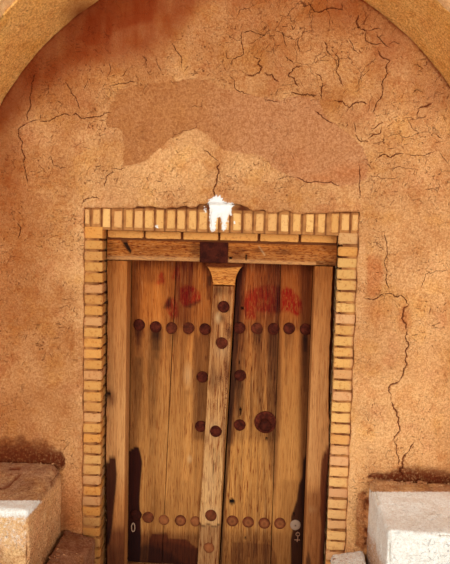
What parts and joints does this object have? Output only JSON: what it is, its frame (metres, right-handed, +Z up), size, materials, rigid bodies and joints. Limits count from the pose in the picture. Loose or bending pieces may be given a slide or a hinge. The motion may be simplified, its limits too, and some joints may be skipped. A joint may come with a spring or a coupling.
{
  "type": "adobe entrance portal",
  "caption": "Arched adobe entrance niche with side benches, a brick door surround, a timber frame and a studded double door on wooden pivots.",
  "frame": {"origin": "middle of the bottom of the whole portal, at the level of the landing in front of the sill", "axes": "+X to the right seen from the street, +Y into the house, +Z up"},
  "size_m": [3.88, 1.04, 4.2498],
  "materials": {
    "adobe_wall": "mud and straw plaster, cracked",
    "mud_render": "weathered mud render",
    "fired_brick": "fired buff brick, worn",
    "frame_timber": "weathered poplar, bare",
    "leaf_timber": "weathered boards, stained",
    "rusted_iron": "rusted wrought iron"
  },
  "bodies": {
    "portal": {"left_pier": "adobe_wall", "right_pier": "adobe_wall", "arch_left_low": "adobe_wall", "arch_left_middle": "adobe_wall", "arch_left_top": "adobe_wall", "arch_right_low": "adobe_wall", "arch_right_middle": "adobe_wall", "arch_right_top": "adobe_wall", "left_spandrel": "adobe_wall", "right_spandrel": "adobe_wall", "parapet": "adobe_wall", "coping": "mud_render", "back_wall_left": "adobe_wall", "back_wall_right": "adobe_wall", "back_wall_over": "adobe_wall", "brick_jamb_left": "fired_brick", "brick_jamb_right": "fired_brick", "brick_flat_course": "fired_brick", "brick_soldier_course": "fired_brick", "rear_lintel_beams": "frame_timber", "sill": "frame_timber", "head_beam": "frame_timber", "post_left": "frame_timber", "post_right": "frame_timber", "lintel_plate": "rusted_iron", "capital": "frame_timber", "left_bench": "mud_render", "right_bench": "mud_render", "left_ledge": "mud_render", "right_ledge": "mud_render"},
    "left_leaf": {"left_pivot_stile": "leaf_timber", "left_outer_board": "leaf_timber", "left_inner_board": "leaf_timber", "left_back_ledges": "leaf_timber", "left_studs": "rusted_iron", "batten": "frame_timber", "left_link": "rusted_iron"},
    "right_leaf": {"right_pivot_stile": "leaf_timber", "right_inner_board": "leaf_timber", "right_outer_board": "leaf_timber", "right_back_ledges": "leaf_timber", "right_studs": "rusted_iron", "knocker_plate": "rusted_iron", "knocker_knob": "rusted_iron", "right_chain": "rusted_iron"}
  },
  "joints": [
    {"name": "left_leaf_hinge", "type": "hinge", "parent": "portal", "child": "left_leaf", "pos_m": [-0.61, 0.2325, 0.09], "axis": [0, 0, 1], "range_deg": [0, 90]},
    {"name": "right_leaf_hinge", "type": "hinge", "parent": "portal", "child": "right_leaf", "pos_m": [0.57, 0.2325, 0.09], "axis": [0, 0, -1], "range_deg": [0, 90]}
  ]
}
